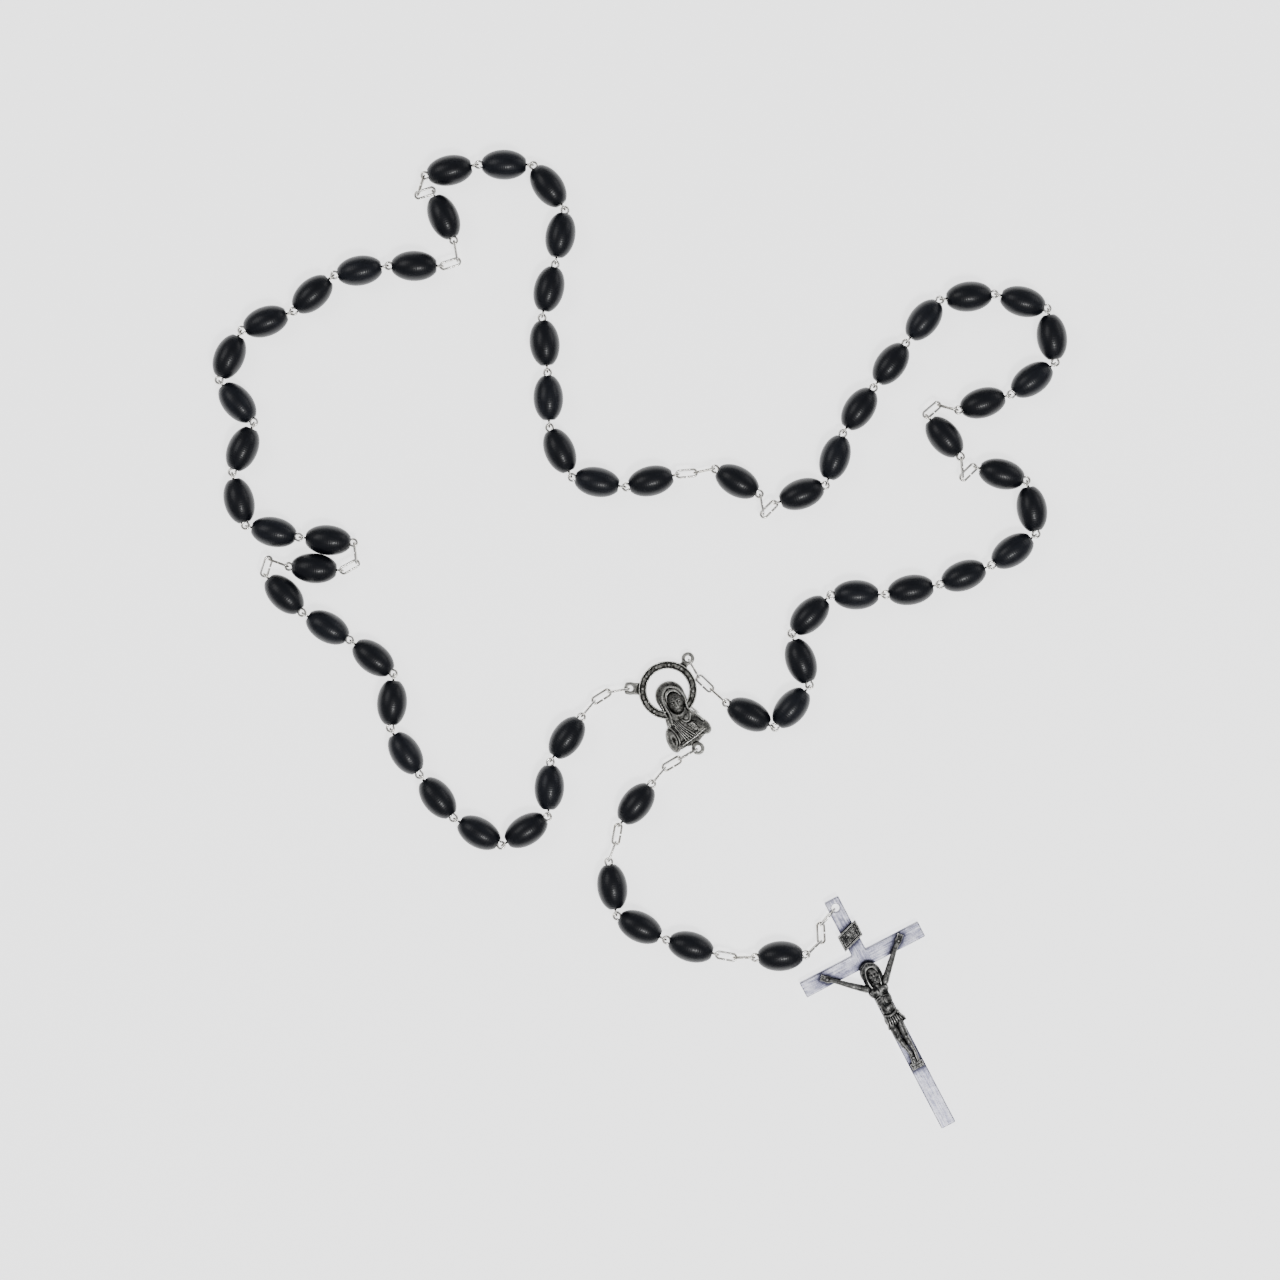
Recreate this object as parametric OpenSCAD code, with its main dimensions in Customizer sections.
// Five-decade rosary lying flat: 59 turned wooden beads, each on its own wire pin, hooked eye to eye
// and joined by oval chain links to a cast centrepiece, with a pendant that ends in a crucifix.
// Origin at the bottom centre of the whole object, +Z up, millimetres.

/* [Beads] */
// Length of one wooden bead
bead_l = 8.5; // [7:0.1:10.2]
// Largest diameter of a bead
bead_d = 5.8; // [4.8:0.1:7]
// Width of the flat lip round the countersunk mouth of a bead
mouth_lip = 0.35; // [0.2:0.05:0.6]
// Play between the mouth and the eye that sits in it, at the end of the bead
mouth_play = 0.08; // [0.05:0.01:0.2]
// Depth of the countersink beyond the eye that sits in it
mouth_floor = 0.25; // [0.2:0.05:0.6]

/* [Wire] */
// Diameter of the wire of the eyes and links
wire_d = 0.45; // [0.36:0.01:0.5]
// Outside width of the round eye at each end of a pin
eye_w = 1.8; // [1.7:0.1:2.2]
// How far an eye sits inside the mouth of its bead
eye_in = 0.3; // [0.2:0.05:0.5]
// Play between two wires that hook into each other
hook_play = 0.06; // [0.03:0.01:0.12]
// Play around the pin in its bore
bore_play = 0.12; // [0.03:0.01:0.2]

/* [Chain] */
// Outside length of an oval chain link
link_l = 4.4; // [3.8:0.1:5.2]
// Outside width of an oval chain link
link_w = 1.8; // [1.7:0.1:2.2]
// Outside length of the larger jump ring at a casting
jump_l = 4.6; // [4:0.1:5.4]
// Outside width of the jump ring
jump_w = 3; // [2.8:0.1:3.4]

/* [Centrepiece] */
// Outside diameter of the starred ring
ring_d = 11.2; // [9.4:0.1:13.4]
// Width of the band of the ring
ring_band = 1.5; // [1.2:0.1:2]
// Thickness of the ring
ring_t = 1.8; // [1.5:0.1:2.2]
// Number of stars on the ring
star_count = 12; // [8:1:14]
// Length of the bust from the crown of the veil to its foot
bust_l = 13.4; // [11:0.1:16]
// Width of the bust across the sleeves
bust_w = 8.6; // [7:0.1:10.4]
// Thickness of the bust
bust_t = 3.4; // [2.6:0.1:4.2]
// Diameter of the hole in each lug
lug_hole_d = 1.1; // [1:0.05:1.4]
// Thickness of the round section of each lug
lug_t = 0.7; // [0.5:0.05:0.9]

/* [Crucifix] */
// Length of the cross
cross_l = 49; // [40:0.5:60]
// Width of the cross over its arms
cross_w = 25.6; // [21:0.2:31]
// Width of the upright
upright_w = 3; // [2.6:0.1:3.4]
// Width of the arms
arm_w = 3.2; // [2.6:0.1:4]
// Thickness of the cross
cross_t = 1.2; // [1:0.05:1.35]
// Distance from the top to the middle of the arms
arm_drop = 13; // [11:0.5:16]
// Diameter of the hole at the top
cross_hole_d = 1.6; // [1.5:0.05:1.8]
// Distance from the top to the middle of that hole
hole_drop = 1.8; // [1.5:0.1:2.4]
// Distance between the hands of the figure
figure_span = 15.6; // [13:0.2:19]
// Height of the figure from its hands to its feet
figure_h = 22; // [18:0.5:26]
// Thickness of the figure
figure_t = 2.4; // [2:0.1:3]
// Width of the title plaque
plaque_w = 4.5; // [3.6:0.1:5.4]
// Height of the title plaque
plaque_h = 3.2; // [2.6:0.1:3.8]
// Thickness of the title plaque
plaque_t = 0.6; // [0.4:0.05:1]

/* [Hidden] */
$fn = 48;

// Kinds of piece along the chain. A pin has one flat eye and one upright eye, a level pin has two flat.
PIN = 0;
LEVEL_PIN = 1;
LINK = 2;
JUMP = 3;

// The headings in which the pieces lie, in degrees from +X, decade by decade.
left_run = [-170, -148, -130];
decade_run = [
    [-125, -92, -148, 150, 128, 122, 86, 142, 150, 134],
    [174, 168, 104, 66, 130, 66, 20, 42, 10, 0],
    [12, 0, -54, -100, -104, -84, -88, -66, -10, 14],
    [20, 72, 56, 54, 52, 6, -15, -82, -145, -164],
    [-14, -80, -146, -160, -170, 180, -135, -70, -130, 152]
];
our_father_run = [-4, 113, -29, -50];
before_run = [[72, -20], [18, 100], [5, 12], [165, 220]];
right_run = [138, 136, 120];
pendant_run = [-150, -150, -130];
pendant_bead_run = [-128, -82, -26, -16, 3];
pendant_link_run = [[-100, -110], [-10, 0]];
crucifix_run = [43, 92, 50];
lean = 27.5;
// Where the chain doubles back, two beads lie side by side. One link of the fold climbs by what is missing
// from this many bead widths, and the other pieces of the fold climb the rest.
fold_widths = 1.4;
fold_climb = 6.46;

// Levels above the surface that the rosary lies on.
bead_z = bead_d / 2;
rest_gap = 0.05;
ring_z = jump_w / 2 + rest_gap;
lug_z = jump_w / 2 - rest_gap;

// Wires that hook into each other stand this far apart, axis to axis.
hook = wire_d + hook_play;
lug_rho = (lug_hole_d + lug_t) / 2;
lug_hook = (lug_t + wire_d) / 2 + hook_play;
eye_rho = (eye_w - wire_d) / 2;
shaft_d = wire_d - 0.05;

eye_reach = eye_w - eye_in;

// The countersink of a bead clears the eye that stands in it, and the bead ends in a lip round it.
mouth_d = 2 * (sqrt(pow(eye_w / 2, 2) - pow(eye_w / 2 - eye_in, 2)) + mouth_play);
mouth_depth = eye_in + mouth_floor;
bead_end_d = mouth_d + 2 * mouth_lip;

// The eye of the jump ring passes the cross this far from the middle of the hole.
hole_offset = 0.28;

// The top of the bust above the middle of the ring, and the lugs' distances from that middle.
bust_top = 1.6;
lug_place = [ring_d / 2 + 1.6, ring_d / 2 + 1.6, bust_l - bust_top + 0.8];
lug_turn = [150 + lean, 30 + lean, lean - 90];

function dir(heading, pitch) = [cos(pitch) * cos(heading), cos(pitch) * sin(heading), sin(pitch)];

// Length of a piece between the wire centres of its two end bends.
function span_of(kind) =
    kind == LINK ? link_l - wire_d :
    kind == JUMP ? jump_l - wire_d :
    bead_l + 2 * eye_reach - wire_d;

fold = asin((fold_widths * bead_d - fold_climb) / (span_of(LINK) - hook));
after_run = [[fold, 96], [198, 72], [-80, 45], [-85, 45]];

function ends_flat(kind, flat) = kind == PIN ? !flat : flat;

// Walks along [kind, heading, pitch] and gives [kind, heading, pitch, from, to, starts flat] for each piece.
function walk(run, from, flat = false, i = 0) =
    i == len(run) ? [] :
    let (
        now = run[i],
        then = i + 1 < len(run) ? run[i + 1] : now,
        to = from + span_of(now[0]) * dir(now[1], now[2]),
        out = ends_flat(now[0], flat),
        back = hook * dir(out ? now[1] : then[1], out ? then[2] : now[2])
    )
    concat([[now[0], now[1], now[2], from, to, flat]], walk(run, to - back, !out, i + 1));

function last(list) = list[len(list) - 1];
function total(list) = [for (one = list) 1] * list;

// Walks with every link and pin turned a little sideways, so that the chain ends at its goal.
function closed(run, from, goal, rounds = 4) =
    let (
        way = walk(run, from),
        miss = goal - last(way)[4],
        levers = [for (p = way) p[0] == JUMP ? [0, 0] : [p[3][1] - p[4][1], p[4][0] - p[3][0]]],
        xx = total([for (v = levers) v[0] * v[0]]),
        xy = total([for (v = levers) v[0] * v[1]]),
        yy = total([for (v = levers) v[1] * v[1]]),
        pull = [yy * miss[0] - xy * miss[1], xx * miss[1] - xy * miss[0]] / (xx * yy - xy * xy)
    )
    rounds == 0 ? way : closed(
        [for (i = [0 : len(run) - 1]) [run[i][0], run[i][1] + levers[i] * pull * 180 / PI, run[i][2]]],
        from, goal, rounds - 1);

function steps(kind, headings, pitch = 0) = [for (h = headings) [kind, h, pitch]];

// Where a wire lies in a lug that it leaves in this direction.
function lug_start(i, heading, pitch) =
    lug_place[i] * dir(lug_turn[i], 0) + [0, 0, lug_z]
    + lug_rho * dir(heading, 0) - lug_hook * dir(heading, pitch);

lug_rise = asin((bead_z - lug_z) / (span_of(JUMP) + 2 * span_of(LINK) - 3 * hook - lug_hook));
ring_fall = asin((bead_z - ring_z) / (2 * span_of(LINK) - 2 * hook));

our_father_kind = [PIN, PIN, LEVEL_PIN, PIN];
loop_steps = concat(
    steps(JUMP, [left_run[0]], lug_rise),
    steps(LINK, [left_run[1], left_run[2]], lug_rise),
    steps(PIN, decade_run[0]),
    [for (k = [0 : 3]) each concat(
        steps(LINK, before_run[k]),
        steps(our_father_kind[k], [our_father_run[k]]),
        steps(LINK, after_run[k]),
        steps(PIN, decade_run[k + 1]))],
    steps(LINK, [right_run[0], right_run[1]], -lug_rise),
    steps(JUMP, [right_run[2]], -lug_rise)
);
raw_loop = closed(
    loop_steps,
    lug_start(0, left_run[0], lug_rise),
    lug_start(1, right_run[2] + 180, lug_rise));

pendant_steps = concat(
    steps(JUMP, [pendant_run[0]], lug_rise),
    steps(LINK, [pendant_run[1], pendant_run[2]], lug_rise),
    steps(PIN, [pendant_bead_run[0]]),
    steps(LINK, pendant_link_run[0]),
    steps(PIN, [for (i = [1 : 3]) pendant_bead_run[i]]),
    steps(LINK, pendant_link_run[1]),
    steps(LEVEL_PIN, [pendant_bead_run[4]]),
    steps(LINK, [crucifix_run[0], crucifix_run[1]], -ring_fall),
    steps(JUMP, [crucifix_run[2]])
);
raw_pendant = walk(pendant_steps, lug_start(2, pendant_run[0], lug_rise));

raw_hole = last(raw_pendant)[4] + hole_offset * dir(crucifix_run[2], 0);
cross_foot = cross_l - hole_drop;
cross_tilt = asin((ring_z - cross_t / 2) / cross_foot);

// How far a bead reaches from its middle in a direction that lies at this angle to its axis.
bead_rise = (bead_d - bead_end_d) / 2;
bead_arc = (pow(bead_l / 2, 2) + pow(bead_rise, 2)) / (2 * bead_rise);
function bead_reach(angle) =
    let (c = abs(cos(angle)), s = abs(sin(angle)))
    bead_arc * c <= bead_l / 2 ? bead_arc + (bead_d / 2 - bead_arc) * s : bead_l / 2 * c + bead_end_d / 2 * s;

function is_bead(p) = p[0] == PIN || p[0] == LEVEL_PIN;
function middle(p) = (p[3] + p[4]) / 2;

// The furthest that the beads and the cross reach towards a heading.
function far(heading) =
    let (
        d = dir(heading, 0),
        turn = lean - heading,
        hole = raw_hole * d,
        arm_y = (hole_drop - arm_drop) * cos(cross_tilt)
    )
    max(concat(
        [for (p = concat(raw_loop, raw_pendant)) if (is_bead(p)) middle(p) * d + bead_reach(p[1] - heading)],
        [for (x = [-1, 1]) hole + x * upright_w / 2 * cos(turn)
            + (cross_foot * cos(cross_tilt) + cross_t / 2 * sin(cross_tilt)) * sin(turn)],
        [for (x = [-1, 1], y = [-1, 1]) hole + x * cross_w / 2 * cos(turn)
            - (arm_y + y * arm_w / 2) * sin(turn)]));

shift = -[(far(0) - far(180)) / 2, (far(90) - far(-90)) / 2, 0];
function moved(run) = [for (p = run) [p[0], p[1], p[2], p[3] + shift, p[4] + shift, p[5]]];
loop = moved(raw_loop);
pendant = moved(raw_pendant);
hole_place = raw_hole + shift;

// ---- Pieces in their own frames, lying along X ----

module torus(rho, d) {
    rotate_extrude() translate([rho, 0]) circle(d = d);
}

module bead() {
    bore_r = shaft_d / 2 + bore_play;
    rotate([0, 90, 0]) rotate_extrude() difference() {
        intersection() {
            translate([bead_d / 2 - bead_arc, 0]) circle(r = bead_arc, $fn = 96);
            translate([0, -bead_l / 2]) square([bead_d, bead_l]);
        }
        polygon([
            [-1, -bead_l], [mouth_d / 2, -bead_l], [mouth_d / 2, -bead_l / 2],
            [bore_r, mouth_depth - bead_l / 2], [bore_r, bead_l / 2 - mouth_depth],
            [mouth_d / 2, bead_l / 2], [mouth_d / 2, bead_l], [-1, bead_l]
        ]);
    }
}

// A straight shaft with a closed round eye at both ends.
module pin(level) {
    eye_x = bead_l / 2 + eye_reach - eye_w / 2;
    shaft_l = 2 * (eye_x - eye_rho);
    rotate([0, 90, 0]) cylinder(d = shaft_d, h = shaft_l, center = true);
    translate([-eye_x, 0, 0]) torus(eye_rho, wire_d);
    translate([eye_x, 0, 0]) rotate([level ? 0 : 90, 0, 0]) torus(eye_rho, wire_d);
}

// A closed oval of wire with straight sides.
module oval(l, w) {
    rho = (w - wire_d) / 2;
    side = l - w;
    for (s = [-1, 1]) {
        translate([s * side / 2, 0, 0]) rotate([0, 0, -90 * s]) rotate_extrude(angle = 180)
            translate([rho, 0]) circle(d = wire_d);
        translate([0, s * rho, 0]) rotate([0, 90, 0]) cylinder(d = wire_d, h = side, center = true);
    }
}

module laid(p) {
    translate(middle(p)) rotate([p[5] ? 0 : 90, -p[2], p[1]]) children();
}

module wire(p) {
    if (p[0] == LINK) oval(link_l, link_w);
    else if (p[0] == JUMP) oval(jump_l, jump_w);
    else pin(p[0] == LEVEL_PIN);
}

// The beads, and the wires, of a stretch of the chain.
module beads(run, first, last) {
    color([0.07, 0.08, 0.11]) for (i = [first : last]) laid(run[i]) bead();
}

module wires(run, first, last) {
    color([0.76, 0.75, 0.72]) for (i = [first : last]) laid(run[i]) wire(run[i]);
}

// Each decade is three stretches, of three, four and three beads.
stretch = [[0, 2], [3, 6], [7, 9]];
function decade_first(k) = 3 + 15 * (k - 1);
function our_father_at(k) = 15 * k;

module decade_beads(k, part) {
    beads(loop, decade_first(k) + stretch[part][0], decade_first(k) + stretch[part][1]);
}

module decade_pins(k, part) {
    wires(loop, decade_first(k) + stretch[part][0], decade_first(k) + stretch[part][1]);
}

module our_father(k) {
    beads(loop, our_father_at(k), our_father_at(k));
}

module our_father_wire(k) {
    wires(loop, our_father_at(k) - 2, our_father_at(k) + 2);
}

// ---- Centrepiece ----

rim = 0.28;
star_d = ring_band * 0.72;

module star() {
    polygon([for (i = [0 : 9])
        (i % 2 == 0 ? star_d / 2 : star_d / 5) * [cos(36 * i + 90), sin(36 * i + 90)]]);
}

module starred_ring() {
    outer = ring_d / 2;
    inner = outer - ring_band;
    low = lug_z - ring_t / 2;
    rotate_extrude() {
        translate([inner, low]) square([ring_band, ring_t - rim]);
        translate([inner, low]) square([rim, ring_t]);
        translate([outer - rim, low]) square([rim, ring_t]);
    }
    for (i = [0 : star_count - 1])
        rotate([0, 0, 360 / star_count * i])
            translate([0, outer - ring_band / 2, low + ring_t - rim - 0.1])
                linear_extrude(height = rim + 0.1) star();
}

module lug(i) {
    reach = lug_place[i];
    neck_w = lug_hole_d + lug_t;
    root = reach - lug_rho - lug_t / 2 - 0.9;
    rotate([0, 0, lug_turn[i] - lean]) {
        translate([reach, 0, lug_z]) torus(lug_rho, lug_t);
        translate([root, -neck_w / 2, lug_z - 0.6])
            cube([reach - lug_rho - root + 0.05, neck_w, 1.2]);
    }
}

module egg(x, y, z, sx, sy, sz) {
    translate([x, y, z]) scale([sx, sy, sz]) sphere(r = 1, $fn = 20);
}

// A veiled bust in relief with a flat back, wider to the left at its foot.
module bust() {
    top = bust_top;
    foot = top - bust_l;
    half = bust_w / 2;
    mid = -0.4;
    head_w = bust_w / 3;
    difference() {
        union() {
            hull() {
                egg(mid / 4, top - head_w, 0.7, head_w, head_w, bust_t - 1.4);
                egg(mid, top - 6, 0.6, head_w * 0.9, 2.4, bust_t - 1.6);
            }
            hull() {
                egg(mid, top - 6, 0.5, head_w * 0.9, 2, bust_t - 1.7);
                egg(mid - half + 1.6, foot + 2.4, 0.4, 1.6, 2.4, bust_t - 1.7);
                egg(mid + half - 1.5, foot + 2.6, 0.4, 1.5, 1.8, bust_t - 1.7);
            }
            egg(0.2, top - 4.1, 1.3, 1.75, 2.3, bust_t - 1.4);
            hull() {
                egg(mid - half / 2, foot + 1.9, 1.2, 1.2, 0.9, bust_t - 1.7);
                egg(mid + half / 2, foot + 2, 1.2, 1.2, 0.9, bust_t - 1.7);
            }
        }
        translate([-20, -30, -10]) cube([40, 40, 10]);
    }
}

module centrepiece() {
    color([0.55, 0.54, 0.5]) translate(shift) rotate([0, 0, lean]) {
        starred_ring();
        bust();
        for (i = [0 : 2]) lug(i);
    }
}

// ---- Crucifix, in a frame with the hole at the origin, its top towards +Y and its middle plane at z = 0 ----

module on_cross() {
    translate(hole_place) rotate([cross_tilt, 0, lean]) children();
}

module on_arms() {
    on_cross() translate([0, hole_drop - arm_drop, cross_t / 2]) children();
}

module cross() {
    color([0.8, 0.8, 0.82]) on_cross() difference() {
        union() {
            translate([-upright_w / 2, -cross_foot, -cross_t / 2]) cube([upright_w, cross_l, cross_t]);
            translate([-cross_w / 2, hole_drop - arm_drop - arm_w / 2, -cross_t / 2])
                cube([cross_w, arm_w, cross_t]);
        }
        cylinder(d = cross_hole_d, h = cross_t + 1, center = true);
    }
}

// The figure is laid out on its own height, hands level with the middle of the arms.
hand_x = figure_span / 2;
foot_y = -figure_h;

module limb(a, b, ra, rb) {
    hull() {
        translate(a) sphere(r = ra, $fn = 14);
        translate(b) sphere(r = rb, $fn = 14);
    }
}

module corpus() {
    z = figure_t / 2;
    color([0.4, 0.39, 0.37]) on_arms() difference() {
        union() {
            for (s = [-1, 1])
                limb([s * 1.5, figure_h * -0.23, z * 0.9], [s * hand_x, 0, 0.4], 0.75, 0.5);
            hull() {
                egg(0, figure_h * -0.26, z * 0.7, 2, 1.4, z);
                egg(0.1, figure_h * -0.46, z * 0.6, 1.3, 1.4, z * 0.9);
            }
            hull() {
                egg(0.1, figure_h * -0.52, z * 0.6, 1.6, 1.1, z * 0.95);
                egg(0.5, figure_h * -0.62, z * 0.6, 1.7, 1, z * 0.9);
            }
            limb([-0.6, figure_h * -0.6, z * 0.7], [-0.4, foot_y + 0.7, 0.7], 1, 0.6);
            limb([0.9, figure_h * -0.6, z * 0.7], [0.5, foot_y + 0.7, 0.7], 1, 0.6);
            egg(0.3, figure_h * -0.15, z * 1.1, 1.25, 1.6, z);
        }
        translate([-cross_w, -cross_l, -10]) cube([2 * cross_w, 2 * cross_l, 10]);
    }
}

module title_plaque() {
    slope = tan(17.5);
    border = 0.35;
    color([0.7, 0.7, 0.7]) on_cross() translate([0, hole_drop - 7.8, cross_t / 2]) difference() {
        linear_extrude(height = plaque_t) slanted(plaque_w, plaque_h, slope);
        translate([0, 0, plaque_t / 2]) linear_extrude(height = plaque_t)
            slanted(plaque_w - 2 * border, plaque_h - 2.2 * border, slope);
    }
}

module slanted(w, h, slope) {
    polygon([
        [-w / 2, -w / 2 * slope - h / 2], [w / 2, w / 2 * slope - h / 2],
        [w / 2, w / 2 * slope + h / 2], [-w / 2, -w / 2 * slope + h / 2]
    ]);
}

module foot_rest() {
    rest_w = 2.4;
    rest_h = 1.3;
    color([0.4, 0.39, 0.37]) on_arms()
        translate([-rest_w / 2, foot_y - rest_h - 0.1, 0]) cube([rest_w, rest_h, figure_t / 2]);
}

centrepiece();
wires(loop, 0, 2);  // left_chain
wires(loop, 73, 75);  // right_chain
wires(pendant, 0, 2);  // pendant_chain
decade_beads(1, 0);  // decade_1_beads_a
decade_pins(1, 0);  // decade_1_pins_a
decade_beads(1, 1);  // decade_1_beads_b
decade_pins(1, 1);  // decade_1_pins_b
decade_beads(1, 2);  // decade_1_beads_c
decade_pins(1, 2);  // decade_1_pins_c
our_father(1);  // our_father_1
our_father_wire(1);  // our_father_1_wire
decade_beads(2, 0);  // decade_2_beads_a
decade_pins(2, 0);  // decade_2_pins_a
decade_beads(2, 1);  // decade_2_beads_b
decade_pins(2, 1);  // decade_2_pins_b
decade_beads(2, 2);  // decade_2_beads_c
decade_pins(2, 2);  // decade_2_pins_c
our_father(2);  // our_father_2
our_father_wire(2);  // our_father_2_wire
decade_beads(3, 0);  // decade_3_beads_a
decade_pins(3, 0);  // decade_3_pins_a
decade_beads(3, 1);  // decade_3_beads_b
decade_pins(3, 1);  // decade_3_pins_b
decade_beads(3, 2);  // decade_3_beads_c
decade_pins(3, 2);  // decade_3_pins_c
our_father(3);  // our_father_3
our_father_wire(3);  // our_father_3_wire
decade_beads(4, 0);  // decade_4_beads_a
decade_pins(4, 0);  // decade_4_pins_a
decade_beads(4, 1);  // decade_4_beads_b
decade_pins(4, 1);  // decade_4_pins_b
decade_beads(4, 2);  // decade_4_beads_c
decade_pins(4, 2);  // decade_4_pins_c
our_father(4);  // our_father_4
our_father_wire(4);  // our_father_4_wire
decade_beads(5, 0);  // decade_5_beads_a
decade_pins(5, 0);  // decade_5_pins_a
decade_beads(5, 1);  // decade_5_beads_b
decade_pins(5, 1);  // decade_5_pins_b
decade_beads(5, 2);  // decade_5_beads_c
decade_pins(5, 2);  // decade_5_pins_c
beads(pendant, 3, 3);  // pendant_bead_1
wires(pendant, 3, 5);  // pendant_wire_1
beads(pendant, 6, 6);  // pendant_bead_2
wires(pendant, 6, 6);  // pendant_wire_2
beads(pendant, 7, 7);  // pendant_bead_3
wires(pendant, 7, 7);  // pendant_wire_3
beads(pendant, 8, 8);  // pendant_bead_4
wires(pendant, 8, 8);  // pendant_wire_4
beads(pendant, 11, 11);  // pendant_bead_5
wires(pendant, 9, 11);  // pendant_wire_5
wires(pendant, 12, 13);  // crucifix_chain
wires(pendant, 14, 14);  // crucifix_ring
cross();
corpus();
title_plaque();
foot_rest();
